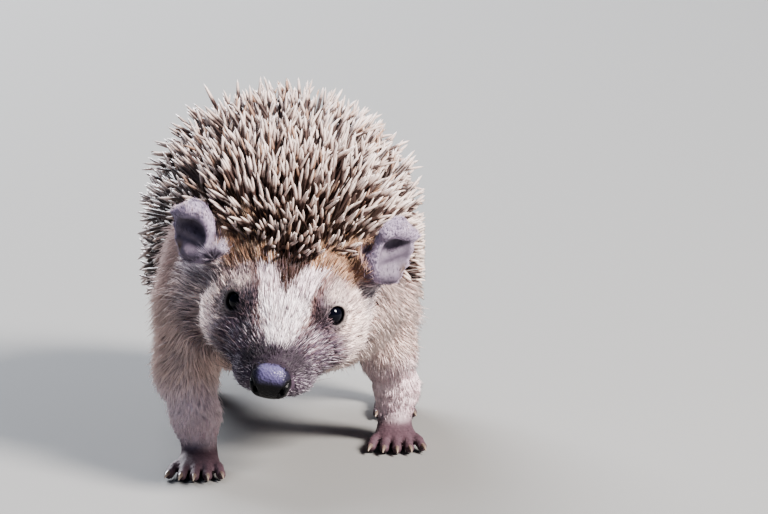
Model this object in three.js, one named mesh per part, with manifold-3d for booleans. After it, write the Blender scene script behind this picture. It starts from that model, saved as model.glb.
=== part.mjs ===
// A young European hedgehog, life size, standing on all four feet in mid step: the right
// forefoot and the left hind foot are ahead, and the head is lowered and a little tilted.
// Units are millimetres. +Z is up, the animal looks along -Y and its left side is +X.
// The origin is on the floor, under the middle of the animal. Every body reaches out to the
// tips of the coat that covers it: short hair on the face and legs, quills on the back.
import * as THREE from "three";
import { mergeVertices } from "three/addons/utils/BufferGeometryUtils.js";
import Module from "manifold-3d";

const wasm = await Module();
wasm.setup();

// ---------- driving dimensions ----------

const COAT_WIDTH = 80; // across the quills
const COAT_HEIGHT = 97.3; // floor to the quill tips
const COAT_FRONT = -57; // where the quills start, above the brow
const COAT_BACK = 83.5; // quill tips on the rump
const BODY_WIDTH = 74; // across the flank hair
const BELLY_HEIGHT = 20; // floor to the belly hair
const CHEST_FRONT = -47;
const RUMP_BACK = 70;
const HEAD_LENGTH = 62; // tip of the nose to the back of the skull
const CHEEK_WIDTH = 48;
const EYE_SPACING = 24.8;
const EYE_RADIUS = 3.2;
const NOSE_WIDTH = 11.6;
const NOSE_HEIGHT = 11;
const EAR_HEIGHT = 18.5;
const EAR_WIDTH = 14.5;
const TAIL_LENGTH = 15;
const LEG_WIDTH = 12; // forearm, with its hair
const FOREFOOT_LENGTH = 19;
const FOREFOOT_WIDTH = 15;
const HIND_FOOT_LENGTH = 26;
const HIND_FOOT_WIDTH = 10.6;
const GAP = 0.3; // between two bodies that meet

// Where the tip of the nose is, and how the head is held.
const NOSE_TIP = new THREE.Vector3(-3.6, -84, 32.6);
const HEAD_PITCH = 18.5;
const HEAD_YAW = -7.5;
const HEAD_ROLL = 7.5;

// The middle of each ear, from the tip of the nose: to the animal's left, back and up.
const EAR_PLACES = { ear_right: [-28.2, 44.5, 19], ear_left: [26, 44.5, 20.4] };

// Where each foot stands: the middle of its heel, and how far its toes turn out.
const FEET = {
  forefoot_right: { x: -23.2, y: -37, turn: -3 },
  forefoot_left: { x: 29.6, y: -3, turn: 2 },
  hindfoot_right: { x: -26.3, y: 64, turn: -4 },
  hindfoot_left: { x: 27.8, y: 46, turn: 4 },
};

// ---------- colours ----------

const finish = (color, roughness = 0.85) =>
  new THREE.MeshStandardMaterial({ color, roughness, metalness: 0 });
const QUILLS = finish(0x8d7966, 0.6);
const FACE_FUR = finish(0xcdbdb0);
const BODY_FUR = finish(0xa08d7f);
const LEG_FUR = finish(0xb09a8e);
const EAR_SKIN = finish(0x8b8089);
const FOOT_SKIN = finish(0x7d5c58, 0.6);
const NOSE_SKIN = finish(0x1c1a20, 0.25);
const EYE = finish(0x08070a, 0.05);

// ---------- making shapes ----------

const radians = THREE.MathUtils.degToRad;
const X_AXIS = new THREE.Vector3(1, 0, 0);

// A smooth function of 0 to 1 through rows of three numbers, evenly spaced.
function through(rows) {
  return new THREE.CatmullRomCurve3(rows.map((row) => new THREE.Vector3(...row)));
}

// A number brought round smoothly from 0 at an end to 1 once it is one cap length inside.
const rounding = (inside, cap) => Math.sqrt(1 - (1 - Math.min(inside / cap, 1)) ** 2);

// cos or sin of an angle, bent from a circle's to a superellipse's.
const bulged = (value, power) => Math.sign(value) * Math.abs(value) ** (2 / power);

// A closed body: a cross-section carried along a spine, with a rounded cap at each end.
// sizes gives, at even steps, the half width, and how far it reaches above and below the
// spine. On a spine that runs up, above is towards the front. grow thickens it all round.
function carried({ spine, sizes, sides, rings, caps, power = 2, powerBelow = power, grow = 0 }) {
  const path = through(spine);
  const size = through(sizes);
  const geometry = new THREE.SphereGeometry(1, sides, rings);
  const place = geometry.getAttribute("position");
  const point = new THREE.Vector3();
  for (let i = 0; i < place.count; i++) {
    point.fromBufferAttribute(place, i);
    const share = (1 - point.y) / 2; // 0 at the start of the spine, 1 at its end
    const angle = Math.atan2(-point.z, point.x);
    const centre = path.getPoint(share);
    const along = path.getTangent(THREE.MathUtils.clamp(share, 0.001, 0.999));
    const side = X_AXIS.clone().addScaledVector(along, -X_AXIS.dot(along)).normalize();
    const top = new THREE.Vector3().crossVectors(side, along);
    const [wide, above, below] = size.getPoint(share).toArray();
    const round = rounding(share, caps[0]) * rounding(1 - share, caps[1]);
    const isAbove = Math.sin(angle) > 0;
    const bulge = isAbove ? power : powerBelow;
    centre.addScaledVector(along, grow * (2 * share - 1));
    if (round > 0) {
      const high = isAbove ? above : below;
      centre
        .addScaledVector(side, bulged(Math.cos(angle), bulge) * (wide * round + grow))
        .addScaledVector(top, bulged(Math.sin(angle), bulge) * (high * round + grow));
    }
    place.setXYZ(i, ...centre.toArray());
  }
  return geometry;
}

// An egg: a sphere with three half sizes.
function egg(halfX, halfY, halfZ, sides, rings) {
  return new THREE.SphereGeometry(1, sides, rings).scale(halfX, halfY, halfZ);
}

function mesh(name, geometry, material) {
  const made = new THREE.Mesh(geometry, material);
  made.name = name;
  return made;
}

// A body that only shapes others: it is placed in a group, cut with, and taken out at the end.
const cutters = [];
function cutter(parent, geometry) {
  const made = mesh("cutter", geometry, FACE_FUR);
  parent.add(made);
  cutters.push(made);
  return made;
}

// ---------- cutting and joining ----------

// A mesh as a manifold-3d solid, in the frame of the whole animal.
function solid(part) {
  part.updateWorldMatrix(true, false);
  const bare = (part.geometry.index ? part.geometry.toNonIndexed() : part.geometry).clone();
  for (const name of ["normal", "uv"]) bare.deleteAttribute(name);
  const merged = mergeVertices(bare.applyMatrix4(part.matrixWorld), 1e-4);
  const net = new wasm.Mesh({
    numProp: 3,
    vertProperties: merged.getAttribute("position").array,
    triVerts: new Uint32Array(merged.index.array),
  });
  return new wasm.Manifold(net);
}

// Gives a mesh the shape of a solid, keeping its own place. Crumbs left by a cut are dropped.
function reshape(part, shape) {
  const pieces = shape.decompose();
  pieces.sort((a, b) => b.volume() - a.volume());
  const { vertProperties, triVerts } = pieces[0].getMesh();
  part.geometry = new THREE.BufferGeometry()
    .setAttribute("position", new THREE.BufferAttribute(vertProperties, 3))
    .setIndex(new THREE.BufferAttribute(triVerts, 1))
    .applyMatrix4(part.matrixWorld.clone().invert());
  part.geometry = part.geometry.toNonIndexed();
  part.geometry.computeVertexNormals();
}

function cut(part, ...cutters) {
  let shape = solid(part);
  for (const cutter of cutters) shape = shape.subtract(solid(cutter));
  reshape(part, shape);
}

function join(part, ...others) {
  let shape = solid(part);
  for (const other of others) shape = shape.add(solid(other));
  reshape(part, shape);
}

// ---------- the head ----------

// Its own frame has its origin at the tip of the nose, with +Y going back along the snout.
const animal = new THREE.Group();
const headFrame = new THREE.Group();
headFrame.position.copy(NOSE_TIP);
headFrame.rotation.set(radians(HEAD_PITCH), radians(HEAD_ROLL), radians(HEAD_YAW), "ZXY");
animal.add(headFrame);

// A pointed snout that widens through the muzzle to full cheeks, then narrows to the neck.
const headShape = (grow = 0) => {
  const cheek = CHEEK_WIDTH / 2;
  return carried({
    spine: [
      [0, 2.5, -0.6],
      [0, HEAD_LENGTH / 2, 0],
      [0, HEAD_LENGTH, 0],
    ],
    sizes: [
      [0.2 * cheek, 4.4, 6],
      [0.4 * cheek, 5.4, 9],
      [0.6 * cheek, 8.6, 11.5],
      [0.82 * cheek, 13.6, 13],
      [0.97 * cheek, 18.2, 14.5],
      [cheek, 20.6, 16],
      [0.96 * cheek, 21.5, 16.5],
      [0.86 * cheek, 20, 15.5],
      [0.7 * cheek, 17, 13],
    ],
    sides: 20,
    rings: 16,
    caps: [0.1, 0.3],
    power: 2.15,
    powerBelow: 1.65,
    grow,
  });
};
const head = mesh("head", headShape(), FACE_FUR);
const headRoom = cutter(headFrame, headShape(GAP));

// The bare, wet end of the snout, with a nostril open to each side.
const noseShape = (grow = 0) => {
  const half = NOSE_WIDTH / 2;
  return egg(half + grow, 4.6 + grow, NOSE_HEIGHT / 2 + grow, 12, 8).translate(-0.3, 4.6, -0.3);
};
const nose = mesh("nose", noseShape(), NOSE_SKIN);
const noseRoom = cutter(headFrame, noseShape(GAP));
const nostrils = [-1, 1].map((side) =>
  cutter(headFrame, egg(1.5, 1.7, 1.2, 7, 5).translate(side * NOSE_WIDTH * 0.42, 2.4, -0.6)),
);

// The mouth, closed to a thin slit under the snout.
const mouth = cutter(headFrame, egg(8.6, 10, 0.3, 16, 4).rotateX(radians(-6)).translate(0, 15, -6));

// A round eye set into each side of the face, more than half sunk.
const eyePlace = (side) => new THREE.Vector3((side * EYE_SPACING) / 2, 25.5, 10.3);
const eyes = [
  ["eye_right", -1],
  ["eye_left", 1],
].map(([name, side]) => {
  const eye = mesh(name, new THREE.SphereGeometry(EYE_RADIUS, 11, 7), EYE);
  eye.position.copy(eyePlace(side));
  return eye;
});
const eyeRooms = eyes.map((eye) => {
  const room = cutter(headFrame, new THREE.SphereGeometry(EYE_RADIUS + GAP, 11, 7));
  room.position.copy(eye.position);
  return room;
});

// A round ear: an upright bowl, open to the front and outwards, on a short thick stalk.
const ears = Object.keys(EAR_PLACES).map((name) => {
  const side = Math.sign(EAR_PLACES[name][0]);
  const holder = new THREE.Group();
  holder.position.set(...EAR_PLACES[name]);
  holder.rotation.set(radians(-14), radians(side * 20), radians(side * 34), "ZXY");
  headFrame.add(holder);
  const outer = (grow) => egg(EAR_WIDTH / 2 + grow, 4.4 + grow, EAR_HEIGHT / 2 + grow, 12, 8);
  const stalk = (grow) =>
    cutter(headFrame, egg(6 + grow, 4.2 + grow, 6 + grow, 8, 6).translate(side * 21.5, 46.5, 13.5));
  const ear = mesh(name, outer(0), EAR_SKIN);
  holder.add(ear);
  const hollow = cutter(holder, egg(EAR_WIDTH / 2 - 1.3, 4.2, EAR_HEIGHT / 2 - 1.4, 10, 7));
  hollow.position.set(side * 0.4, -2.6, 0.2);
  join(ear, stalk(0));
  cut(ear, hollow);
  return [cutter(holder, outer(GAP)), stalk(GAP)];
});
const earRooms = ears.flat();

headFrame.add(head, nose, ...eyes);
cut(nose, ...nostrils);
cut(head, noseRoom, mouth, ...eyeRooms, ...earRooms);

// ---------- the trunk, the neck and the tail ----------

const trunkShape = (grow = 0) => {
  const half = BODY_WIDTH / 2;
  return carried({
    spine: [
      [-1, CHEST_FRONT, 43],
      [-1.5, -24, 46],
      [-1.5, 0, 47],
      [-1.5, 24, 47],
      [-1.5, 47, 45],
      [-1.5, RUMP_BACK, 41],
    ],
    sizes: [
      [half * 0.94, 22, 18],
      [half, 37, 46 - BELLY_HEIGHT],
      [half, 40, 47 - BELLY_HEIGHT],
      [half, 39.5, 47 - BELLY_HEIGHT],
      [half * 0.96, 37, 46 - BELLY_HEIGHT],
      [half * 0.8, 28, 18],
    ],
    sides: 22,
    rings: 13,
    caps: [0.2, 0.28],
    power: 2.1,
    powerBelow: 2.4,
    grow,
  });
};
const trunk = mesh("trunk", trunkShape(), BODY_FUR);
const trunkRoom = cutter(animal, trunkShape(GAP));

// The short neck, hidden between the cheeks and the shoulders.
const neckShape = (grow = 0) =>
  carried({
    spine: [
      [2, -46, 50],
      [1, -31, 54],
      [0, -14, 57],
    ],
    sizes: [
      [22, 17, 17],
      [26, 20, 20],
      [24, 22, 20],
    ],
    sides: 14,
    rings: 7,
    caps: [0.3, 0.4],
    grow,
  });
const neck = mesh("neck", neckShape(), BODY_FUR);
const neckRoom = cutter(animal, neckShape(GAP));

const tailShape = (grow = 0) =>
  carried({
    spine: [
      [-1.5, RUMP_BACK - 9, 36],
      [-1.5, RUMP_BACK, 31],
      [-1.5, RUMP_BACK - 9 + TAIL_LENGTH, 25],
    ],
    sizes: [
      [4.2, 4.2, 4.2],
      [3.2, 3.2, 3.2],
      [1.6, 1.6, 1.6],
    ],
    sides: 10,
    rings: 7,
    caps: [0.2, 0.3],
    grow,
  });
const tail = mesh("tail", tailShape(), BODY_FUR);
const tailRoom = cutter(animal, tailShape(GAP));

// ---------- the quills ----------

// The whole coat of quills as a domed layer over the crown, back, flanks and rump.
const mantle = mesh(
  "quill_mantle",
  carried({
    spine: [
      [0, COAT_FRONT, 64],
      [-1.2, -34, 59],
      [-1.8, -11, 55],
      [-1.8, 12, 53],
      [-1.8, 35, 51],
      [-1.8, 59, 48],
      [-1.8, COAT_BACK, 44],
    ],
    sizes: [
      [COAT_WIDTH * 0.45, 24, 22],
      [COAT_WIDTH * 0.485, 33.4, 28],
      [COAT_WIDTH * 0.5, 41, 28],
      [COAT_WIDTH * 0.5, COAT_HEIGHT - 53, 28],
      [COAT_WIDTH * 0.49, COAT_HEIGHT - 52, 28],
      [COAT_WIDTH * 0.46, 38.5, 26],
      [COAT_WIDTH * 0.4, 24, 20],
    ],
    sides: 24,
    rings: 16,
    caps: [0.32, 0.34],
    power: 1.95,
    powerBelow: 3.4,
  }),
  QUILLS,
);

// The lower edge of the quills, seen from the side: it falls from the brow, behind the ears,
// to the flanks, and lower still round the rump. All below it is cut away.
const skirt = new THREE.Shape();
skirt.moveTo(-80, 0);
skirt.lineTo(-80, 56);
skirt.lineTo(-58, 57);
skirt.bezierCurveTo(-53, 60, -50, 67, -44, 67);
skirt.bezierCurveTo(-36, 66, -32, 44, -14, 42);
skirt.bezierCurveTo(14, 39, 42, 32, 62, 29);
skirt.lineTo(100, 29);
skirt.lineTo(100, 0);
const belowSkirt = cutter(
  animal,
  new THREE.ExtrudeGeometry(skirt, { depth: 120, bevelEnabled: false, curveSegments: 4 })
    .rotateY(Math.PI / 2)
    .rotateX(Math.PI / 2)
    .translate(-60, 0, 0),
);

// ---------- the feet ----------

const floor = cutter(animal, new THREE.BoxGeometry(400, 400, 40).translate(0, 0, -20));

// A flat-soled paw with five toes and claws, its heel at its own origin, toes along -Y.
function paw(name, { x, y, turn }, length, width, clawLength) {
  const toeLength = length * 0.36;
  const palmLength = length - toeLength;
  const palm = mesh(
    name,
    carried({
      spine: [
        [0, 2.5, 4],
        [0, -palmLength / 2, 3],
        [0, -palmLength, 2.4],
      ].reverse(),
      sizes: [
        [width * 0.42, 3, 3.2],
        [width * 0.44, 4.4, 3.8],
        [width * 0.36, 6.4, 4.4],
      ],
      sides: 10,
      rings: 5,
      caps: [0.3, 0.35],
      power: 2.4,
    }),
    FOOT_SKIN,
  );
  const holder = new THREE.Group();
  holder.position.set(x, y, 0);
  holder.rotation.z = radians(turn);
  holder.add(palm);
  animal.add(holder);
  const toes = [-2, -1, 0, 1, 2].flatMap((step) => {
    const reach = 1 - 0.07 * step * step;
    const toe = cutter(holder, egg(width * 0.1, toeLength * 0.62, 2, 6, 4));
    toe.position.set(step * width * 0.205, -palmLength - toeLength * 0.3 * reach + Math.abs(step) * 0.6, 1.7);
    toe.rotation.z = radians(step * 8);
    const claw = cutter(toe, new THREE.ConeGeometry(0.85, clawLength, 4).rotateX(radians(-166)));
    claw.position.set(0, -toeLength * 0.62 - clawLength * 0.28, -0.1);
    return [toe, claw];
  });
  join(palm, ...toes);
  cut(palm, floor);
  return palm;
}

const forefeet = ["forefoot_right", "forefoot_left"].map((name) =>
  paw(name, FEET[name], FOREFOOT_LENGTH, FOREFOOT_WIDTH, 4.2),
);
const hindFeet = ["hindfoot_right", "hindfoot_left"].map((name) =>
  paw(name, FEET[name], HIND_FOOT_LENGTH, HIND_FOOT_WIDTH, 3.6),
);

// ---------- the legs ----------

// Each leg is carried up from its foot. shoulder is the end hidden in the trunk.
const legShape = ({ x, y }, bend, shoulder, sizes, grow = 0) =>
  carried({
    spine: [[x, y, 5], [x, y + bend[0], 15], [x + bend[1], y + bend[2], 27], shoulder],
    sizes,
    sides: 14,
    rings: 9,
    caps: [0.12, 0.3],
    grow,
  });
const arm = LEG_WIDTH / 2;
const FORELEG_SIZES = [
  [arm * 0.95, arm * 0.9, arm * 0.9],
  [arm * 1.08, arm, arm * 1.1],
  [arm * 1.3, arm * 1.35, arm * 1.5],
  [arm * 1.5, arm * 2, arm * 2],
];
const HIND_LEG_SIZES = [
  [5, 5, 5.4],
  [6, 6.4, 7],
  [9, 12, 10],
  [11, 17, 12],
];
const LEGS = [
  ["foreleg_right", FEET.forefoot_right, [0.5, -4, 3], [-24, -28, 44], FORELEG_SIZES],
  ["foreleg_left", FEET.forefoot_left, [0.5, -3, -3], [24, -12, 45], FORELEG_SIZES],
  ["hindleg_right", FEET.hindfoot_right, [1, 2, -8], [-22, 48, 40], HIND_LEG_SIZES],
  ["hindleg_left", FEET.hindfoot_left, [1, -2, -2], [22, 36, 40], HIND_LEG_SIZES],
];
const legs = LEGS.map(([name, foot, bend, shoulder, sizes]) =>
  mesh(name, legShape(foot, bend, shoulder, sizes), LEG_FUR),
);
const legRooms = LEGS.map(([, foot, bend, shoulder, sizes]) =>
  cutter(animal, legShape(foot, bend, shoulder, sizes, GAP)),
);

// ---------- fitting the parts to each other ----------

const feet = [...forefeet, ...hindFeet];
animal.add(trunk, neck, tail, mantle, ...legs);
cut(mantle, belowSkirt, tailRoom, ...legRooms, trunkRoom, neckRoom, headRoom, ...earRooms);
cut(trunk, neckRoom, headRoom, ...earRooms);
cut(neck, headRoom, ...earRooms);
cut(tail, trunkRoom);
legs.forEach((leg) => cut(leg, trunkRoom, neckRoom, headRoom));
feet.forEach((foot, i) => cut(foot, legRooms[i]));
cutters.forEach((body) => body.removeFromParent());

const box = new THREE.Box3().setFromObject(animal, true);
const middle = box.getCenter(new THREE.Vector3());
animal.position.set(-middle.x, -middle.y, 0);

export default animal;
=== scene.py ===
"""A young European hedgehog at life size, standing in mid step with its head lowered.

Everything is worked out in millimetres in the model's own frame (+Z up, the animal looks
along -Y, its left side is +X) and stored in metres.
"""

import math

import bmesh
import bpy
import numpy as np
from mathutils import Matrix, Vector
from mathutils.kdtree import KDTree


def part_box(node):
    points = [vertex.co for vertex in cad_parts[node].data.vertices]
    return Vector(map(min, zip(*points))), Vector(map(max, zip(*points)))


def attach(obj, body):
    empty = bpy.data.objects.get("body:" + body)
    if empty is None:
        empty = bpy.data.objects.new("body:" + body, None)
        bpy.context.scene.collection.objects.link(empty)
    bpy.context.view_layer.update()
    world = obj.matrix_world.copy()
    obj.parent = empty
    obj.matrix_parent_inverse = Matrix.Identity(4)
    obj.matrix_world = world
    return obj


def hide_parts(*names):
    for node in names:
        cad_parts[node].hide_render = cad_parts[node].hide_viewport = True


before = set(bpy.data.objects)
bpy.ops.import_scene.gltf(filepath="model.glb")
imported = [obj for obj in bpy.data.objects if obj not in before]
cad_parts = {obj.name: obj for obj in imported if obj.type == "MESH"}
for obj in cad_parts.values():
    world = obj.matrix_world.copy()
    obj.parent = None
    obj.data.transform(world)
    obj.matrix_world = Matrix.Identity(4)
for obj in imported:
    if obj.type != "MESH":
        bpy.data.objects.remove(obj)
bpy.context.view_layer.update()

# ------------------------------------------------------------------ skin: where the body lies
# The skin is one continuous surface over the whole animal, a few millimetres inside the tips
# of its coat. Its places are taken from the solid nodes. The head has axes of its own, which
# start at the tip of the nose: to the animal's left, back along the snout, and up.

EYE_BACK, EYE_UP = 25.5, 10.3  # eye's centre, from the tip of the nose
NOSE_LEFT, NOSE_BACK, NOSE_UP = -0.3, 4.6, -0.3  # nose pad's centre, the same


def corners(node):
    """Lowest and highest corner of a node, in mm."""
    low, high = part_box(node)
    return np.array(low) * 1000, np.array(high) * 1000


def middle(node):
    """Centre of a node's box, in mm."""
    low, high = corners(node)
    return (low + high) / 2


def unit(v):
    """v / |v|, for one vector or for each row."""
    v = np.asarray(v, float)
    return v / np.maximum(np.linalg.norm(v, axis=-1, keepdims=True), 1e-9)


eye_at = {"left": middle("eye_left"), "right": middle("eye_right")}
head_left = unit(eye_at["left"] - eye_at["right"])
to_eyes = (eye_at["left"] + eye_at["right"]) / 2 - middle("nose")
to_eyes = unit(to_eyes - head_left * (to_eyes @ head_left))
over_eyes = np.cross(head_left, to_eyes)
rise = math.atan2(EYE_UP - NOSE_UP, EYE_BACK - NOSE_BACK)
head_back = math.cos(rise) * to_eyes - math.sin(rise) * over_eyes
head_up = math.cos(rise) * over_eyes + math.sin(rise) * to_eyes
head_axes = np.array([head_left, head_back, head_up])
nose_tip = middle("nose") - np.array([NOSE_LEFT, NOSE_BACK, NOSE_UP]) @ head_axes


def on_head(left, back, up):
    """A place on the head, nose_tip + left * L + back * B + up * U."""
    return nose_tip + np.array([left, back, up], float) @ head_axes


def in_head(p):
    """Points in the head's axes: columns left, back, up."""
    return (p - nose_tip) @ head_axes.T


trunk_low, trunk_high = corners("trunk")
coat_low, coat_high = corners("quill_mantle")
axis_x = (trunk_low[0] + trunk_high[0]) / 2

# ------------------------------------------------------------------ skin: its shapes
# Flesh is a blend of stretched balls and tapering rods, each with a signed distance that is
# negative inside. join melts two shapes together over a width, carve takes one away.

FAR_OFF = 50.0  # distance given to a point that no shape comes near
MARGIN = 5.0  # how far outside its box a shape is still felt
shapes = []


def egg(p, centre, radii, axes, power, below, power_below, power_long):
    """Distance to a stretched ball. With q the place in its axes over its radii, its section
    is s = (|q1|^n + |q3|^n)^(1/n) and g = (s^m + |q2|^m)^(1/m); the distance is
    (g - 1) / |grad g|. Under the centre the third radius and n have values of their own."""
    q = (p - centre) @ axes.T
    above = q[:, 2] > 0
    r = np.broadcast_to(radii, q.shape).copy()
    r[:, 2] = np.where(above, radii[2], below)
    n, m = np.where(above, power, power_below), power_long
    a, b, c = (np.abs(q / r) + 1e-9).T
    s = (a**n + c**n) ** (1 / n)
    g = (s**m + b**m) ** (1 / m)
    across = s ** (m - n) * np.hypot(a ** (n - 1) / r[:, 0], c ** (n - 1) / r[:, 2])
    steep = g ** (1 - m) * np.hypot(across, b ** (m - 1) / r[:, 1])
    return (g - 1) / np.maximum(steep, 1e-3)


def rod(p, start, end, thick, thin):
    """Distance to a tapering rod: |p - c(t)| - r(t), c and r running straight from end to end."""
    along = end - start
    t = np.clip((p - start) @ along / (along @ along), 0, 1)
    away = p - start - t[:, None] * along
    return np.linalg.norm(away, axis=1) - (thick + (thin - thick) * t)


def add_egg(centre, radii, how="join", blend=3.0, axes=None, power=2.0, below=None, powers=None):
    """Lists a stretched ball for the field, with the box outside which it makes no difference."""
    centre, radii = np.asarray(centre, float), np.asarray(radii, float)
    powers = powers or (power, power, power)
    reach = max(radii.max(), below or 0) * (1.3 if max(powers) > 2 else 1.0)
    axes = np.eye(3) if axes is None else axes
    args = (centre, radii, axes, powers[0], radii[2] if below is None else below, *powers[1:])
    shapes.append((egg, args, how, blend, centre - reach, centre + reach))


def add_rod(start, end, thick, thin, how="join", blend=3.0):
    """Lists a tapering rod for the field, with its box."""
    start, end = np.asarray(start, float), np.asarray(end, float)
    reach = max(thick, thin)
    low, high = np.minimum(start, end) - reach, np.maximum(start, end) + reach
    shapes.append((rod, (start, end, thick, thin), how, blend, low, high))


def field(p):
    """Signed distance to the skin. join: min(a, b) - h^2 k / 4 with h = max(k - |a - b|, 0) / k,
    carve: max(a, -b) + h^2 k / 4 with h = max(k - |a + b|, 0) / k."""
    total = np.full(len(p), FAR_OFF)
    for shape, args, how, k, low, high in shapes:
        near = np.flatnonzero(((p > low - MARGIN) & (p < high + MARGIN)).all(1))
        if not len(near):
            continue
        one, other = total[near], shape(p[near], *args)
        h = np.maximum(k - np.abs(one - (other if how == "join" else -other)), 0) / k
        if how == "join":
            total[near] = np.minimum(one, other) - h * h * k / 4
        else:
            total[near] = np.maximum(one, -other) + h * h * k / 4
    return total


def slope(p, step=0.12):
    """Gradient of the field by central differences."""
    out = np.empty_like(p)
    for axis in range(3):
        move = np.zeros(3)
        move[axis] = step
        out[:, axis] = (field(p + move) - field(p - move)) / (2 * step)
    return out


def settle(p, rounds=3):
    """Moves points onto the skin: p - f * grad f / |grad f|^2, a few times over."""
    for _ in range(rounds):
        g = slope(p)
        f = np.clip(field(p), -1.5, 1.5)
        p = p - (f / np.maximum((g * g).sum(1), 0.2))[:, None] * g
    return p


# The barrel of the body, the rump, the chest, and the nape and crown under the quills.
BELLY_COAT, FLANK_COAT, CHEST_COAT = 3.4, 3.9, 3.0  # how deep the coat is over the skin
BACK_COAT, RUMP_COAT = 12.2, 11.0
BARREL_Z = 51.0  # height at which the body is widest
belly = trunk_low[2] + BELLY_COAT
ridge = coat_high[2] - BACK_COAT
chest_front = trunk_low[1] + CHEST_COAT
rump_back = coat_high[1] - RUMP_COAT
half_body = (trunk_high[0] - trunk_low[0]) / 2 - FLANK_COAT
add_egg(
    [axis_x, (chest_front + rump_back) / 2 - 4, BARREL_Z],
    [half_body, (rump_back - chest_front) / 2 - 1.5, ridge - BARREL_Z],
    powers=(2.0, 2.6, 2.1),
    below=BARREL_Z - belly,
)
add_egg([axis_x, rump_back - 27, 43], [27, 27, 25], blend=8, below=19)
add_egg([axis_x, chest_front + 20, 45], [32, 19, 24], blend=8, power=2.3, below=21)
add_egg([axis_x + 0.5, coat_low[1] + 31, 56], [27, 26, 23.5], blend=8)
tail_low, tail_high = corners("tail")
add_rod([axis_x, tail_low[1] - 6, 35], [axis_x, tail_high[1] - 1, tail_low[2] + 1.5], 4.6, 1.1)

# The head: cranium, cheeks, brow, a snout that narrows to the nose, and the lower jaw.
SNOUT = [
    # back, left of its centre, half width, half height, height of its centre, half length
    (8.5, 0.0, 6.3, 5.3, -0.6, 5.0),
    (13, -0.2, 9.2, 7.2, -0.8, 6.5),
    (19, -0.5, 12.7, 9.7, -0.1, 8.0),
    (26, -0.8, 16.8, 12.6, 0.5, 10.0),
    (34, -0.8, 19.9, 15.4, 1.4, 12.0),
    (43, -0.8, 21.2, 17.2, 2.0, 14.0),
    (53, -0.5, 20.6, 16.8, 2.4, 14.0),
]
for back, left, wide, high, up, long in SNOUT:
    powers = (2.15, 2.15 - 0.75 * min(max((back - 14) / 12, 0), 1), 2.15)
    add_egg(on_head(left, back, up), [wide, long, high], axes=head_axes, blend=2.5, powers=powers)
add_rod(on_head(0, 12.5, -6.0), on_head(-1.4, 30, -7.0), 3.1, 6.0, blend=2.5)
HEAD_PAIRS = [
    # out to each side, left of that, back, up, half width, length and height, blend
    (3.4, 0, 10.5, -1.9, [3.6, 5.2, 3.8], 1.6),  # wings of the nose
    (5.6, -0.3, 13.0, -2.8, [4.9, 6.2, 4.3], 2.5),  # whisker pads
    (12.6, -0.9, 33, 0.8, [8.0, 11, 6.8], 5),  # cheeks
    (9.8, 0, 29, 11.6, [5.5, 6.5, 4.0], 3),  # brow over each eye
]
for side in (-1, 1):
    for out, left, back, up, radii, blend in HEAD_PAIRS:
        add_egg(on_head(side * out + left, back, up), radii, axes=head_axes, blend=blend)

# Eye sockets: the lids swell round each eyeball and stop at a ring a little smaller than it,
# which runs out into a short slit at the inner corner.
EYE_RADIUS = (corners("eye_left")[1] - corners("eye_left")[0]).max() / 2
LID, EYE_ROOM = 1.0, 0.10  # thickness of the lids, and the gap between socket and eyeball
OPENING = [2.6, 3.2, 2.6]
eye_look = {}
for name, side, tilt in (("left", 1, 27), ("right", -1, 10)):
    look = unit(np.array([side * 0.62, -0.72, 0.28]) @ head_axes)
    eye_look[name] = look
    at = eye_at[name]
    tall = head_up * math.cos(math.radians(tilt)) + side * head_left * math.sin(math.radians(tilt))
    tall = unit(tall - look * (tall @ look))
    slit = np.array([np.cross(look, tall), look, tall])
    add_egg(at - 0.45 * look, np.full(3, EYE_RADIUS + LID), blend=3.0)
    add_egg(at, np.full(3, EYE_RADIUS + EYE_ROOM), how="carve", blend=0.25)
    add_egg(at + look * OPENING[1], OPENING, how="carve", blend=0.6, axes=slit, power=2.2)
    inner = unit(-side * 0.55 * head_left - tall)
    corner, corner_end = at + look * 2.4 + inner * 1.5, at + look * 2.0 + inner * 3.0
    add_rod(corner, corner_end, 0.8, 0.35, how="carve", blend=0.5)

# The nose pad: two lobes with a groove between them, and a nostril that curls out and back.
NOSTRIL = [
    # out from the middle of the nose, back, up, half width
    (2.7, 1.0, -3.1, 0.35),
    (3.3, 0.7, -2.0, 0.55),
    (4.0, 1.0, -0.6, 0.5),
    (4.8, 2.0, 0.5, 0.4),
    (5.4, 3.8, 0.6, 0.3),
]
add_egg(on_head(NOSE_LEFT, NOSE_BACK, -0.2), [5.2, 4.3, 5.0], axes=head_axes, blend=0.8, power=2.6)
for side in (-1, 1):
    lobe, hole = on_head(side * 2.9 + NOSE_LEFT, 3.7, -0.8), on_head(side * 3.5 + NOSE_LEFT, 1.8, -1.8)
    add_egg(lobe, [2.5, 3.3, 3.7], axes=head_axes, blend=0.8)
    curl = [(on_head(side * out + NOSE_LEFT, back, up), wide) for out, back, up, wide in NOSTRIL]
    for (start, wide), (end, thin) in zip(curl, curl[1:]):
        add_rod(start, end, wide, thin, how="carve", blend=0.5)
    add_egg(hole, [0.5, 2.2, 0.8], how="carve", blend=0.4, axes=head_axes)
groove = on_head(NOSE_LEFT, -0.6, 1.0), on_head(NOSE_LEFT, 0.4, -6.0)
cleft = on_head(NOSE_LEFT, 1.4, -5.4), on_head(0, 7.5, -6.8)
add_rod(*groove, 0.35, 0.5, how="carve", blend=0.9)
add_rod(*cleft, 0.3, 0.3, how="carve", blend=0.8)

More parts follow.
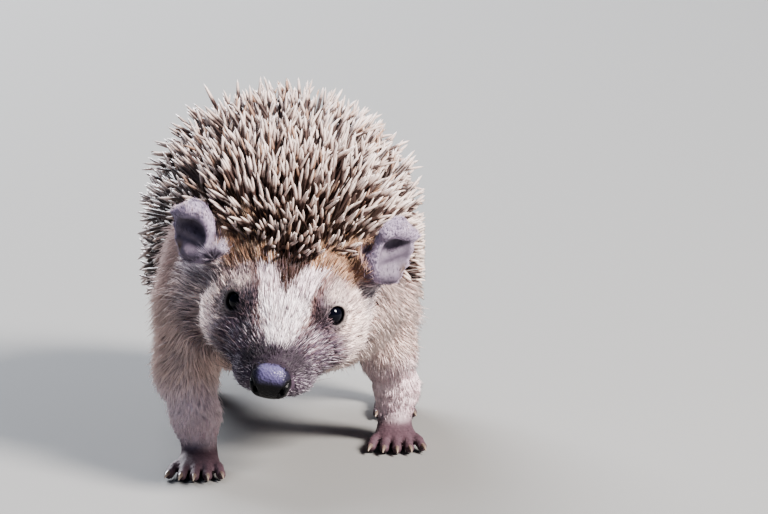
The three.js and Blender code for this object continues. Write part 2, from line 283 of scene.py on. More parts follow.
# The mouth, a closed line that runs back under the muzzle on each side.
MOUTH = [(0, 6.6, -6.6), (4.6, 11, -5.8), (7.8, 17, -5.2), (9.8, 22, -5.0)]  # out, back, up
for side in (-1, 1):
    path = [on_head(side * out, back, up) for out, back, up in MOUTH]
    for start, end in zip(path, path[1:]):
        add_rod(start, end, 0.35, 0.35, how="carve", blend=0.9)

# The ears: round upright bowls, open to the front and outwards, on a short stalk. The bowl's
# place and size are shares of the ear's half sizes.
EAR_PLACES = {"left": (25.6, 44.5, 21.4), "right": (-28.2, 44.5, 19.0)}
EAR_HALF = {"left": np.array([5.5, 3.5, 9.3]), "right": np.array([6.3, 3.5, 8.4])}
EAR_TURN, EAR_LEAN, EAR_TIP = 34, 20, -14  # degrees: face outwards, top outwards, top forward
EAR_BOWL_AT, EAR_BOWL = np.array([0, -0.84, -0.16]), np.array([0.80, 1.10, 0.80])
EAR_FOLDS = [
    # start and end (outwards, back, up, as shares of the half sizes) and how thick at each: the
    # rim that curls forward over the top, two soft ridges across the bowl, the lobe at its foot
    ((-0.74, -0.55, 0.46), (0.0, -0.72, 0.66), 1.3, 1.7),
    ((0.0, -0.72, 0.66), (0.80, -0.50, 0.58), 1.7, 1.3),
    ((-0.60, 0.00, -0.38), (0.62, -0.05, 0.16), 1.2, 1.9),
    ((-0.30, -0.02, -0.66), (0.62, -0.10, -0.34), 1.1, 1.5),
    ((-0.40, -0.30, -0.80), (0.25, -0.42, -0.70), 1.7, 2.0),
]
ear_axes, ear_at = {}, {}


def turned(axis, degrees):
    """Rotation matrix about one axis: the two others, u and v, go to c u + s v and c v - s u."""
    c, s = math.cos(math.radians(degrees)), math.sin(math.radians(degrees))
    u, v = (axis + 1) % 3, (axis + 2) % 3
    made = np.eye(3)
    made[u, u], made[u, v] = c, -s
    made[v, u], made[v, v] = s, c
    return made


for name, side in (("left", 1), ("right", -1)):
    centre = on_head(*EAR_PLACES[name])
    axes = (turned(2, side * EAR_TURN) @ turned(0, EAR_TIP) @ turned(1, side * EAR_LEAN)).T @ head_axes
    ear_axes[name], ear_at[name] = axes, centre
    across, behind, above = axes
    stalk_end = centre - 4.5 * above + 1.0 * behind - side * 2.2 * across
    add_rod(on_head(side * 16, 47, 11), stalk_end, 5.4, 3.6, blend=4)
    half = EAR_HALF[name]
    add_egg(centre, half, axes=axes, blend=2.0)
    add_egg(centre + EAR_BOWL_AT * half @ axes, EAR_BOWL * half, how="carve", blend=0.9, axes=axes)
    for start, end, thick, thin in EAR_FOLDS:
        fold = [centre + np.array([side * a, b, c]) * half @ axes for a, b, c in (start, end)]
        add_rod(*fold, thick, thin, blend=1.9)

# Legs and feet. Each foot's frame has its origin at the heel, on the floor, toes along -Y. A
# leg rises from the heel through three joints, and has a thickness at its foot and at each.
FORE = dict(long=19, wide=15, claw=4.2)
HIND = dict(long=26, wide=10.6, claw=3.6, thick=(4.0, 5.0, 8.0, 13))
FORE_RIGHT = dict(FORE, thick=(4.7, 5.7, 7.2, 9.8), rise=[(-1.2, 0.5, 15), (-3.8, 3, 27), (-0.8, 9, 44)])
FORE_LEFT = dict(FORE, thick=(4.6, 5.2, 6.8, 9.8), rise=[(0.6, 0.5, 15), (-2.2, -3, 27), (-5.2, -9, 45)])
FEET = {
    "forefoot_right": dict(FORE_RIGHT, turn=-3),
    "forefoot_left": dict(FORE_LEFT, turn=2),
    "hindfoot_right": dict(HIND, turn=-4, rise=[(0, 1, 15), (2, -8, 27), (5.4, -16, 40)]),
    "hindfoot_left": dict(HIND, turn=4, rise=[(0, 1, 15), (-2, -2, 27), (-8.5, -10, 40)]),
}
PALM = 0.64  # its share of the foot's length; the toes take the rest
SPLAY = 8  # degrees from one toe to the next
claw_roots = []
for name, foot in FEET.items():
    low, high = corners(name)
    angle = math.radians(foot["turn"])
    forward = np.array([math.sin(angle), -math.cos(angle), 0])
    aside = np.array([math.cos(angle), math.sin(angle), 0])
    heel = np.array([(low[0] + high[0] - forward[0] * foot["long"]) / 2, high[1] - 2.6, 0])
    palm = foot["long"] * PALM
    axes = np.array([aside, -forward, [0, 0, 1]])
    sole = [foot["wide"] * 0.40, palm * 0.6, 3.0]
    add_egg(heel + forward * palm * 0.55 + [0, 0, 2.4], sole, axes=axes, blend=2, power=2.4)
    joints = [heel + [0, 0, 5]] + [heel + np.array(step) for step in foot["rise"]]
    for i in range(3):
        add_rod(joints[i], joints[i + 1], foot["thick"][i], foot["thick"][i + 1], blend=4 if i else 3)
    for step in range(-2, 3):
        splay = math.radians(step * SPLAY)
        point = forward * math.cos(splay) + aside * math.sin(splay)
        knuckle = heel + forward * (palm * 0.8) + aside * step * foot["wide"] * 0.18 + [0, 0, 2.7]
        reach = foot["long"] * (0.98 - 0.035 * step * step)
        end = heel + forward * reach + aside * step * foot["wide"] * 0.235 + [0, 0, 1.75]
        bend = (knuckle + end) / 2 + [0, 0, 0.5]
        add_rod(knuckle, bend, 1.55, 1.3, blend=1.0)
        add_rod(bend, end, 1.3, 1.35, blend=0.6)
        claw_roots.append((end + point * 0.6 + [0, 0, 0.35], point, foot["claw"]))

# ------------------------------------------------------------------ skin: its mesh
# The skin is one soft sheet without a seam, from the nose to the tail. Its surface is found
# where the field is 0, on a grid whose lines are closer together over the head and the feet.

NEAR = 5.5  # the field is worked out on the whole grid only this close to the surface


def lines(*spans):
    """Grid lines: each span is (start, end, spacing)."""
    out = [np.arange(a, b, step) for a, b, step in spans]
    return np.concatenate(out + [[spans[-1][1]]])


def net(xs, ys, zs):
    """The surface where the field is 0, as four-sided faces. Each grid cell that it crosses
    gets one point, the mean of the crossings on its edges, and each grid edge that it crosses
    gets one face, which joins the four cells round it. The field is worked out on every fourth
    line first, and on all of them only near the surface."""
    axes = (xs, ys, zs)
    size = np.array([len(a) for a in axes])
    coarse = [np.unique(np.r_[np.arange(0, n, 4), n - 1]) for n in size]
    some = np.array(np.meshgrid(*[a[c] for a, c in zip(axes, coarse)], indexing="ij")).reshape(3, -1).T
    rough = field(some).reshape([len(c) for c in coarse])

    def around(chosen):
        """Marks the grid points round each chosen point of the coarse grid."""
        marked = np.zeros(size, bool)
        for i, j, k in np.argwhere(chosen):
            a, b, c = coarse[0][i], coarse[1][j], coarse[2][k]
            marked[max(a - 4, 0) : a + 5, max(b - 4, 0) : b + 5, max(c - 4, 0) : c + 5] = True
        return marked

    values = np.where(around(rough < -NEAR + 0.1), -9.0, 9.0)
    wanted = around(np.abs(rough) < NEAR)
    spots = np.argwhere(wanted)
    values[wanted] = field(np.stack([a[spots[:, i]] for i, a in enumerate(axes)], 1))
    cells = size - 1
    total = np.zeros((cells.prod(), 3))
    count = np.zeros(cells.prod())
    rings = []
    for axis in range(3):
        here = [slice(None)] * 3
        there = [slice(None)] * 3
        here[axis], there[axis] = slice(None, -1), slice(1, None)
        a, b = values[tuple(here)], values[tuple(there)]
        edge = np.argwhere((a < 0) != (b < 0))
        va, vb = a[tuple(edge.T)], b[tuple(edge.T)]
        at = np.stack([axes[i][edge[:, i]] for i in range(3)], 1)
        at[:, axis] += va / (va - vb) * (axes[axis][edge[:, axis] + 1] - axes[axis][edge[:, axis]])
        u, v = (axis + 1) % 3, (axis + 2) % 3
        ring = []
        for du, dv in ((-1, -1), (0, -1), (0, 0), (-1, 0)):
            cell = edge.copy()
            cell[:, u] += du
            cell[:, v] += dv
            flat = np.ravel_multi_index(tuple(np.clip(cell, 0, cells - 1).T), cells)
            total += np.stack([np.bincount(flat, at[:, i], cells.prod()) for i in range(3)], 1)
            count += np.bincount(flat, minlength=cells.prod())
            ring.append(flat)
        ring = np.stack(ring, 1)
        ring[va >= 0] = ring[va >= 0][:, ::-1]
        rings.append(ring)
    used = np.flatnonzero(count)
    number = np.zeros(cells.prod(), int)
    number[used] = np.arange(len(used))
    return total[used] / count[used, None], number[np.concatenate(rings)]


low = np.array([coat_low[0], nose_tip[1] - 3, 0]) - 2
high = np.array([coat_high[0], coat_high[1], coat_high[2]]) + 2
head_end = chest_front + 8
points, quads = net(
    lines((low[0], high[0], 0.8)),
    lines((low[1], head_end, 0.62), (head_end, high[1], 1.15)),
    lines((-3.1, 9.5, 0.62), (9.5, 24, 1.0), (24, 76, 0.75), (76, high[2], 1.2)),
)
points = settle(points, 2)
points[:, 2] = np.maximum(points[:, 2], 0)


def mesh_object(name, points, faces, material=None):
    """An object from points in mm and faces that all have the same number of corners."""
    mesh = bpy.data.meshes.new(name)
    sides = faces.shape[1]
    mesh.vertices.add(len(points))
    mesh.vertices.foreach_set("co", (points / 1000).astype(np.float32).ravel())
    mesh.loops.add(faces.size)
    mesh.loops.foreach_set("vertex_index", faces.astype(np.int32).ravel())
    mesh.polygons.add(len(faces))
    mesh.polygons.foreach_set("loop_start", np.arange(0, faces.size, sides, dtype=np.int32))
    mesh.update(calc_edges=True)
    mesh.validate()
    mesh.shade_smooth()
    made = bpy.data.objects.new(name, mesh)
    bpy.context.scene.collection.objects.link(made)
    if material:
        mesh.materials.append(material)
    return made


skin = mesh_object("skin", points, quads)


def refine(obj, near, rounds=1):
    """Splits the faces whose middle lies in near(points) into four, and settles the new
    points on the skin."""
    for _ in range(rounds):
        shape = bmesh.new()
        shape.from_mesh(obj.data)
        centres = np.array([face.calc_center_median() for face in shape.faces]) * 1000
        chosen = [face for face, yes in zip(shape.faces, near(centres)) if yes]
        edges = list({edge for face in chosen for edge in face.edges})
        made = bmesh.ops.subdivide_edges(shape, edges=edges, cuts=1, use_grid_fill=True)
        fresh = [v for v in made["geom_inner"] if isinstance(v, bmesh.types.BMVert)]
        moved = settle(np.array([v.co for v in fresh]) * 1000, 2) / 1000
        for vert, co in zip(fresh, moved):
            vert.co = co
        shape.normal_update()
        shape.to_mesh(obj.data)
        shape.free()
    obj.data.shade_smooth()


def by_eye(p):
    """Distance to the nearer eyeball's centre."""
    return np.minimum(*(np.linalg.norm(p - at, axis=1) for at in eye_at.values()))


refine(skin, lambda p: (in_head(p)[:, 1] < 11) | (by_eye(p) < 6.5))

# ------------------------------------------------------------------ the markings
# One rule gives the colour of a place on the animal, and both skin and coat take it: a white
# blaze with a dark peak at its top, dark streaks from the eyes to the nose, cream cheeks, a
# grizzled muzzle, a tan brow, lilac-grey ears, a pale body and legs, and dusky feet. Painted
# light is mixed in too: painted shade in the ear bowls and under their rims, painted shade on
# the right side of the face, and a painted sky reflection on top of the nose.


def ramp(x, low, high):
    """0 below low, 1 above high, and 3 t^2 - 2 t^3 between them."""
    t = np.clip((x - low) / (high - low), 0, 1)
    return t * t * (3 - 2 * t)


def srgb(*colour):
    """A colour of 0 to 255 as linear light."""
    c = np.array(colour, float) / 255
    return np.where(c < 0.04045, c / 12.92, ((c + 0.055) / 1.055) ** 2.4)


def over(base, colour, amount):
    """base with colour laid over it."""
    return base + (colour - base) * amount[:, None]


def between(x, *steps):
    """A value that runs straight from step to step; each step is (place, value)."""
    return np.interp(x, *zip(*steps))


def nose_pad(p):
    """1 on the bare nose, 0 elsewhere."""
    left, back, up = in_head(p).T
    edge = between(up, (-5, 4.6), (-1, 6.2), (2, 5.6), (4, 4.6)) - 0.03 * left**2
    return 1 - ramp(back, edge - 0.3, edge + 0.3)


def in_ear(p):
    """(1 on an ear and 0 elsewhere, 1 inside its bowl and 0 outside, height on the ear, and
    distance outwards from its middle)."""
    ear, bowl, height, out = np.zeros((4, len(p)))
    for name, side in (("left", 1), ("right", -1)):
        q = (p - ear_at[name]) @ ear_axes[name].T
        g = (((q + [0, 0, 0.3]) / [7.8, 6.4, EAR_HALF[name][2] + 1.9]) ** 2).sum(1)
        here = 1 - ramp(g, 0.95, 1.15)
        hollow = np.linalg.norm((q / EAR_HALF[name] - EAR_BOWL_AT) / EAR_BOWL, axis=1)
        inner = here * (1 - ramp(hollow, 1.0, 1.12)) * (1 - ramp(q[:, 2], 3.4, 4.6))
        height = np.where(here > ear, q[:, 2], height)
        out = np.where(here > ear, side * q[:, 0], out)
        ear = np.maximum(ear, here)
        bowl = np.maximum(bowl, inner)
    return ear, bowl, height, out


def head_part(p):
    """1 on the head, 0 on the rest of the body."""
    left, back, up = in_head(p).T
    off_axis = np.hypot(left / 30, (up - 4) / 25)
    return (1 - ramp(back, 46, 54)) * (1 - ramp(off_axis, 0.95, 1.1)) * ramp(up, -19, -15)


def streak(p, *path):
    """Distance to the nearer of two broken lines, one on each side of the head."""
    near = np.full(len(p), 50.0)
    for side in (-1, 1):
        spots = [on_head(side * left, back, up) for left, back, up in path]
        for start, end in zip(spots, spots[1:]):
            near = np.minimum(near, rod(p, start, end, 0, 0))
    return near


def body_colour(p):
    """Cream below, greyer up the flanks, paler down the legs, dusky on the feet."""
    z = p[:, 2]
    tone = over(srgb(238, 215, 208), srgb(206, 182, 178), ramp(z, 40, 62))
    tone = over(tone, srgb(250, 230, 234), 1 - ramp(z, 22, 30))
    tone = over(tone, srgb(242, 220, 226), 1 - ramp(z, 9, 16))
    return over(tone, srgb(90, 70, 78), 1 - ramp(z, 5, 10))


def cheek_colour(p):
    """The dark ground of the face with the cream cheeks, greyer above, and the pale throat."""
    left, back, up = in_head(p).T
    side = np.abs(left)
    cheek = ramp(back + 0.35 * side, 24, 31) * ramp(side, 8, 12)
    tone = over(srgb(90, 75, 90), srgb(246, 226, 220), cheek)
    tone = over(tone, srgb(214, 194, 192), ramp(back, 27, 31) * ramp(up, 9, 13) * ramp(side, 8, 11))
    return over(tone, srgb(206, 186, 184), 0.8 * (1 - ramp(up, -10, -5)) * ramp(back, 13, 20))


def face_colour(p):
    """The cheeks, with the dark streaks, the tan brow, the blaze, its peak and the eye rings, and painted
    shade on the right side round the eye and along the streak.
    """
    left, back, up = in_head(p).T
    side = np.abs(left)
    tone = cheek_colour(p)
    # the blaze is this wide to each side at a distance back from the nose
    half = between(back, (8.6, 0.4), (10.5, 2.2), (14, 3.8), (18.5, 5.7), (23, 6.9), (30, 8), (37, 9.4))
    edge = (1 - ramp(side, half + 1.0, half + 2.8)) * ramp(back, 12, 17) * ramp(up, 5, 8)
    tone = over(tone, srgb(150, 114, 104), 0.75 * edge)
    above = streak(p, (10.6, 31, 14.6), (10.2, 26, 13.2), (9.9, 21, 10.6))
    tone = over(tone, srgb(96, 70, 66), 0.8 * (1 - ramp(above, 0.7, 2.3)))
    # the streak from eye to nose, and the patch at its top, are darker on the right: on that side the
    # streak is darkened and widened, and the patch is added, as painted shade
    inner = streak(p, (9.8, 23.5, 11.6), (9.0, 17.5, 8.2), (5.6, 10.0, 4.4))
    dark, wide = np.where(left < 0, 0.95, 0.7), np.where(left < 0, 3.6, 3.1)
    tone = over(tone, srgb(50, 38, 50), dark * (1 - ramp(inner, 1.2, wide)))
    patch = np.linalg.norm(p - on_head(-10.0, 23.5, 11.4), axis=1)
    tone = over(tone, srgb(44, 36, 50), 0.95 * (1 - ramp(patch, 2.6, 6.0)))
    tone = over(tone, srgb(50, 39, 50), 0.95 * (1 - ramp(back, 9.0, 12.4)) * ramp(up, -1, 2))
    tan = ramp(back - 0.3 * np.maximum(side - 9, 0), 31.2, 35.8) * ramp(side, 5.0, 8.5)
    tan = tan * ramp(up - 0.5 * np.maximum(side - 10, 0), 6, 10)
    tone = over(tone, srgb(178, 144, 120), tan * (1 - ramp(side, 19, 23)))
    temple = ramp(back, 35, 39) * ramp(side, 15, 19) * ramp(up, 0, 5) * (1 - tan)
    tone = over(tone, srgb(206, 194, 198), temple)
    blaze = (1 - ramp(side, half - 0.8, half + 0.7)) * ramp(back, 10.2, 12.0) * ramp(up, 0, 3)
    tone = over(tone, srgb(252, 243, 246), blaze)
    tone = over(tone, srgb(243, 226, 232), 0.9 * blaze * ramp(back, 20, 28))
    peak_half = between(back, (23.5, -0.4), (30.5, 3.2), (36.5, 6.0))
    peak = 1 - ramp(np.abs(left + 0.5) - peak_half, -0.5, 0.6)
    tone = over(tone, srgb(64, 38, 28), peak * ramp(back, 23, 25) * ramp(up, 4, 8))
    # the dark ring of the lids round each eye reaches further out on the right, as painted shade
    eye_ring_end_with_shade = np.where(left < 0, 6.0, 5.1)
    return over(tone, srgb(30, 26, 34), 0.95 * (1 - ramp(by_eye(p), 3.6, eye_ring_end_with_shade)))


def markings(p):
    """Linear colour of the coat for each point: body, then face, ears and nose over it, with a painted sky
    reflection on top of the nose.
    """
    side, up = np.abs(in_head(p)[:, 0]), in_head(p)[:, 2]
    tone = over(body_colour(p), face_colour(p), head_part(p))
    ear, bowl, height, out = in_ear(p)
    tone = over(tone, srgb(154, 141, 160), ear)
    # the bowl is darker than the ear's back, partly its own bare skin and partly painted shade in the
    # hollow, and darker still at its top as painted shade under the curled rim
    inside = over(srgb(108, 98, 112), srgb(98, 90, 102), ramp(height, 0.8, 3.2))
    inside = over(inside, srgb(104, 88, 80), ramp(out, 2.4, 4.0) * (1 - ramp(height, -4, -1.5)))
    tone = over(tone, inside, bowl)
    # the nose pad's own colour is near black; the lilac-grey laid over its top is a painted reflection of
    # the sky
    painted_sky_reflection = ramp(up, 0.1, 2.8) * (1 - 0.85 * ramp(side, 2.2, 4.4))
    nose = over(srgb(5, 4, 6), srgb(90, 84, 118), painted_sky_reflection)
    return over(tone, nose, nose_pad(p))


# ------------------------------------------------------------------ where quills grow
# The quills cover the crown, back, flanks and rump. Their edge runs across the brow, behind
# the ears, down to the flanks, and lower round the rump.

QUILL_EDGE = [  # distance back from the nose, height of the edge
    (36, 40), (38, 66), (42, 66), (48, 58), (56, 50),
    (70, 43.5), (98, 40), (126, 35), (146, 30), (170, 27),
]


def quilled(p):
    """How far a point is inside the quilled part, in mm; negative outside."""
    left, back = in_head(p).T[:2]
    brow = back - (37.2 + np.where(left > 0, 0.045, 0.026) * left**2)
    y = p[:, 1] - nose_tip[1]
    edge = between(y, *QUILL_EDGE)
    edge = np.minimum(edge, 66 - 14 * (1 - ramp(np.abs(left), 12, 17)) * (1 - ramp(y, 60, 80)))
    return np.minimum(brow, p[:, 2] - edge)


# ------------------------------------------------------------------ skin: its finish
# Bare skin: matt, a little darker than the coat over it and brown under the quills, finely
# wrinkled and dusky on the feet, and pebbled and moist on the nose.


class Socket:
    """A shader value that can be written as arithmetic: each sign makes its math node."""

    def __init__(self, tree, out):
        self.tree, self.out = tree, out

    def _math(self, kind, *values):
        node = self.tree.nodes.new("ShaderNodeMath")
        node.operation = kind
        for socket, value in zip(node.inputs, values):
            feed(self.tree, socket, value)
        return Socket(self.tree, node.outputs[0])

    def __add__(self, other):
        return self._math("ADD", self, other)

    __radd__ = __add__

    def __mul__(self, other):
        return self._math("MULTIPLY", self, other)

    __rmul__ = __mul__

    def __sub__(self, other):
        return self._math("SUBTRACT", self, other)

    def __rsub__(self, other):
        return self._math("SUBTRACT", other, self)


def feed(tree, socket, value):
    """Links a Socket to an input, or sets it to a plain value."""
    if isinstance(value, Socket):
        tree.links.new(value.out, socket)
    else:
        socket.default_value = value


class Finish:
    """A material. node() makes any node but arithmetic: first its settings and a ramp's stops,
    then the values or links of its inputs, by name or by number."""

    def __init__(self, name, **fixed):
        self.made = bpy.data.materials.new(name)
        self.made.use_nodes = True
        self.tree = self.made.node_tree
        self.shader = self.tree.nodes["Principled BSDF"]
        self.set(**fixed)

    def set(self, **inputs):
        """Feeds the shader's inputs; a name's underscores stand for spaces."""
        for name, value in inputs.items():
            feed(self.tree, self.shader.inputs[name.replace("_", " ")], value)

    def node(self, kind, inputs=None, output=0, stops=(), **settings):
        made = self.tree.nodes.new("ShaderNode" + kind)
        for name, value in settings.items():
            setattr(made, name, value)
        for i, (at, colour) in enumerate(stops):
            band = made.color_ramp.elements
            stop = band[i] if i < len(band) else band.new(at)
            stop.position, stop.color = at, (*colour, 1)
        for name, value in (inputs or {}).items():
            feed(self.tree, made.inputs[name], value)
        return Socket(self.tree, made.outputs[output])

    def attribute(self, name, output="Fac"):
        """What paint_points stored under a name."""
        return self.node("Attribute", attribute_name=name, output=output)

    def place(self):
        """The place on the object, in metres."""
        return self.node("TexCoord", output="Object")

    def noise(self, scale, detail=3.0):
        return self.node("TexNoise", {"Vector": self.place(), "Scale": scale, "Detail": detail})

    def cells(self, scale):
        return self.node("TexVoronoi", {"Vector": self.place(), "Scale": scale}, output="Distance")

    def times(self, colour, other):
        """One colour multiplied by another."""
        return self.node("VectorMath", {0: colour, 1: other}, operation="MULTIPLY")

    def scaled(self, colour, by):
        """A colour made lighter or darker by a number."""
        return self.node("VectorMath", {0: colour, "Scale": by}, operation="SCALE")

    def ramp(self, value, *stops):
        """A colour that runs from stop to stop; each stop is (value, colour)."""
        return self.node("ValToRGB", {0: value}, stops=stops)

    def bump(self, height, strength, distance):
        """Makes the surface look raised where height is large, by up to distance in metres."""
        inputs = {"Height": height, "Strength": strength, "Distance": distance}
        self.set(Normal=self.node("Bump", inputs, output="Normal"))


def paint_points(obj, name, values):
    """Stores one number or one colour for each vertex."""
    colour = values.ndim == 2
    layer = obj.data.attributes.new(name, "FLOAT_COLOR" if colour else "FLOAT", "POINT")
    if colour:
        values = np.hstack([values, np.ones((len(values), 1))])
    layer.data.foreach_set("color" if colour else "value", values.astype(np.float32).ravel())


def read(items, what, width, kind=np.float32):
    """What each item of a mesh holds, as one row of numbers for each."""
    out = np.empty(len(items) * width, kind)
    items.foreach_get(what, out)
    return out.reshape(-1, width)


# Where coat covers it, the skin shows its markings a little darker; under the quills it is brown.
skin_points = read(skin.data.vertices, "co", 3).astype(float) * 1000
under = ramp(quilled(skin_points), -1, 3)
bald = np.maximum(in_ear(skin_points)[0], nose_pad(skin_points))[:, None]
tone = over(markings(skin_points) * (0.78 + 0.22 * bald), srgb(92, 68, 57), under)
paint_points(skin, "shade", tone)
paint_points(skin, "wet", nose_pad(skin_points))
paint_points(skin, "bare", 1 - ramp(skin_points[:, 2], 5, 10))

hide = Finish("skin", Roughness=0.6, Specular_IOR_Level=0.32)
wet, bare = hide.attribute("wet"), hide.attribute("bare")
mottle = hide.noise(900.0, 4.0)
hide.set(Base_Color=hide.scaled(hide.attribute("shade", "Color"), mottle * 0.7 + 0.65))
hide.set(Roughness=0.62 - wet * 0.25)
pebbles, wrinkles = hide.cells(1700.0), hide.cells(1100.0)
hide.bump(pebbles * wet * 1.3 + wrinkles * bare + mottle * 0.4, 0.6, 0.00025)
skin.data.materials.append(hide.made)

bpy.context.view_layer.objects.active = skin
skin.select_set(True)
skin.data.uv_layers.new(name="OFBake")
bpy.ops.object.mode_set(mode="EDIT")
bpy.ops.mesh.select_all(action="SELECT")
bpy.ops.uv.smart_project(angle_limit=math.radians(66), island_margin=0.002)
bpy.ops.object.mode_set(mode="OBJECT")
SKIN_NODES = ["head", "nose", "ear_left", "ear_right", "neck", "trunk", "tail", "quill_mantle"]
SKIN_NODES += [a + b for a in ("foreleg", "forefoot", "hindleg", "hindfoot") for b in ("_left", "_right")]
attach(skin, "root")
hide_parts(*SKIN_NODES)

# ------------------------------------------------------------------ eyes
# Each eye is a wet, almost black ball that sits in its socket behind the lids. Its clear
# cornea bulges a little in the middle.

BALL_RADIUS = EYE_RADIUS - 0.04  # clear of the socket's wall
CORNEA_BULGE = 0.05  # as a share of the ball's radius
BALL_ROWS, BALL_COLUMNS = 35, 48


def eyeball(at, look):
    """A ball round at whose radius is R (1 + bulge c^6), c the cosine of the angle from look:
    rows run from the middle of the cornea to the back, columns round the axis."""
    turns = np.linspace(0, 2 * math.pi, BALL_COLUMNS + 1)[:-1]
    angles = np.linspace(0, math.pi, BALL_ROWS + 2)[1:-1]
    turn, far = np.meshgrid(turns, angles)
    one = unit(np.cross(look, [0, 0, 1]))
    two = np.cross(look, one)
    aside = np.cos(turn)[..., None] * one + np.sin(turn)[..., None] * two
    way = np.cos(far)[..., None] * look + np.sin(far)[..., None] * aside
    size = BALL_RADIUS * (1 + CORNEA_BULGE * np.maximum(way @ look, 0) ** 6)
    rows, cols = turn.shape
    ball = at + size[..., None] * way
    poles = [at + BALL_RADIUS * (1 + CORNEA_BULGE) * look, at - BALL_RADIUS * look]
    spots = np.vstack([ball.reshape(-1, 3), poles])
    number = np.arange(rows * cols).reshape(rows, cols)
    after = np.roll(number, -1, 1)
    sides = np.stack([number[:-1], number[1:], after[1:], after[:-1]], -1).reshape(-1, 4)
    front = np.stack([np.full(cols, rows * cols), number[0], after[0]], 1)
    back = np.stack([np.full(cols, rows * cols + 1), after[-1], number[-1]], 1)
    split = np.vstack([sides[:, [0, 1, 2]], sides[:, [0, 2, 3]]])
    return spots, np.vstack([split, front, back])


CORNEA_IOR = 1.376
eye_finish = Finish("eye", Roughness=0.04, IOR=CORNEA_IOR, Specular_IOR_Level=0.36)
# near black, with a faint blue that is a painted reflection of the sky
eye_black_and_sky_tint = eye_finish.ramp(
    eye_finish.noise(1400.0),
    (0.3, (0.0018, 0.0020, 0.0045)),
    (0.75, (0.005, 0.005, 0.010)),
)
eye_finish.set(Base_Color=eye_black_and_sky_tint)
for name, at in eye_at.items():
    ball, faces = eyeball(at, eye_look[name])
    eye = mesh_object("eyeball_" + name, ball, faces, eye_finish.made)
    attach(eye, "root")
    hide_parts("eye_" + name)

# ------------------------------------------------------------------ quills and hairs: the making
# Quills, hairs and claws are all of horn and grow out of the skin. Each is a closed tapering
# spike with its root in the skin.

MOST_TRIANGLES = 190000  # in one piece
PATCH = 0.003  # side of the patch that one spike takes on the skin's UV map
OFF_FLOOR = 0.25  # mm


def spikes(name, roots, start, end, length, radius, outline, sides, uv, shade, finish, shift=None):
    """Spikes with centre line root + L (s t + (e - s) t^2 / 2) and round sections of radius
    times the outline's share at t; the last point of the outline is the tip. shift moves the
    bands along a spike. A long list of spikes is shared among several pieces."""
    shift = np.zeros(len(roots)) if shift is None else shift
    t = np.array([step for step, _ in outline])
    share = np.array([wide for _, wide in outline])
    rings = len(t) - 1
    each = sides * 2 * (rings - 1) + sides + sides - 2
    pieces = math.ceil(len(roots) * each / MOST_TRIANGLES)
    ring, turn = np.meshgrid(np.arange(rings - 1), np.arange(sides), indexing="ij")
    ring, turn = ring.ravel(), turn.ravel()
    spin = np.arange(sides)
    tip = np.full(sides, rings)
    zero = np.zeros(sides - 2, int)
    k = np.concatenate([
        np.stack([ring, ring, ring + 1], 1),
        np.stack([ring, ring + 1, ring + 1], 1),
        np.stack([tip - 1, tip - 1, tip], 1),
        np.stack([zero, zero, zero], 1),
    ])
    j = np.concatenate([
        np.stack([turn, turn + 1, turn + 1], 1),
        np.stack([turn, turn + 1, turn], 1),
        np.stack([spin, spin + 1, spin], 1),
        np.stack([zero, spin[2:], spin[1:-1]], 1),
    ])
    corner = np.where(k == rings, rings * sides, k * sides + j % sides)
    patch = PATCH * np.stack([j / sides - 0.5, t[k] - 0.5], -1)
    angle = 2 * math.pi * np.arange(sides) / sides
    for piece, part in enumerate(np.array_split(np.arange(len(roots)), pieces)):
        s, e = start[part][:, None], end[part][:, None]
        far = t[None, :, None]
        centre = roots[part][:, None] + length[part][:, None, None] * (s * far + (e - s) * far**2 / 2)
        tangent = unit(s + (e - s) * far)
        loose = unit(np.cross(s, np.roll(e, 1, -1) + 0.3))
        other = unit(np.cross(tangent, loose))[:, :rings, None]
        across = np.cross(other, tangent[:, :rings, None])
        wide = (radius[part][:, None] * share)[:, :rings, None, None]
        section = np.cos(angle)[:, None] * across + np.sin(angle)[:, None] * other
        body = (centre[:, :rings, None] + wide * section).reshape(len(part), -1, 3)
        spots = np.concatenate([body, centre[:, rings:]], 1)
        spots[..., 2] = np.maximum(spots[..., 2], OFF_FLOOR)
        per = spots.shape[1]
        faces = (np.arange(len(part)) * per)[:, None, None] + corner
        called = f"{name}_{piece + 1}" if pieces > 1 else name
        made = mesh_object(called, spots.reshape(-1, 3), faces.reshape(-1, 3), finish.made)
        layer = made.data.uv_layers.new(name="OFBake")
        where = uv[part][:, None, None] + patch
        layer.data.foreach_set("uv", where.astype(np.float32).ravel())
        share_along = np.append(np.repeat(t[:rings], sides), t[rings])
        paint_points(made, "along", (shift[part][:, None] + share_along).ravel())
        paint_points(made, "shade", np.repeat(shade[part], per, 0))
        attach(made, "root")


skin.data.calc_loop_triangles()
corners_of = read(skin.data.loop_triangles, "vertices", 3, np.int32)
loops_of = read(skin.data.loop_triangles, "loops", 3, np.int32)
skin_normals = read(skin.data.vertex_normals, "vector", 3).astype(float)
skin_uv = read(skin.data.uv_layers["OFBake"].data, "uv", 2).astype(float)
triangle = skin_points[corners_of]
one_side, other_side = triangle[:, 1] - triangle[:, 0], triangle[:, 2] - triangle[:, 0]
skin_area = np.linalg.norm(np.cross(one_side, other_side), axis=1) / 2
skin_middle = triangle.mean(1)


def sow(count, density, rng):
    """Random places on the skin: points, normals and UVs. A triangle's chance is its area
    times its density, and the place in it is uniform."""
    chance = skin_area * np.maximum(density, 0)
    pick = rng.choice(len(chance), count, p=chance / chance.sum())
    a, b = rng.random((2, count))
    flip = a + b > 1
    a[flip], b[flip] = 1 - a[flip], 1 - b[flip]
    share = np.stack([1 - a - b, a, b], 1)[..., None]
    spots = (skin_points[corners_of[pick]] * share).sum(1)
    normals = unit((skin_normals[corners_of[pick]] * share).sum(1))
    return spots, normals, (skin_uv[loops_of[pick]] * share).sum(1)


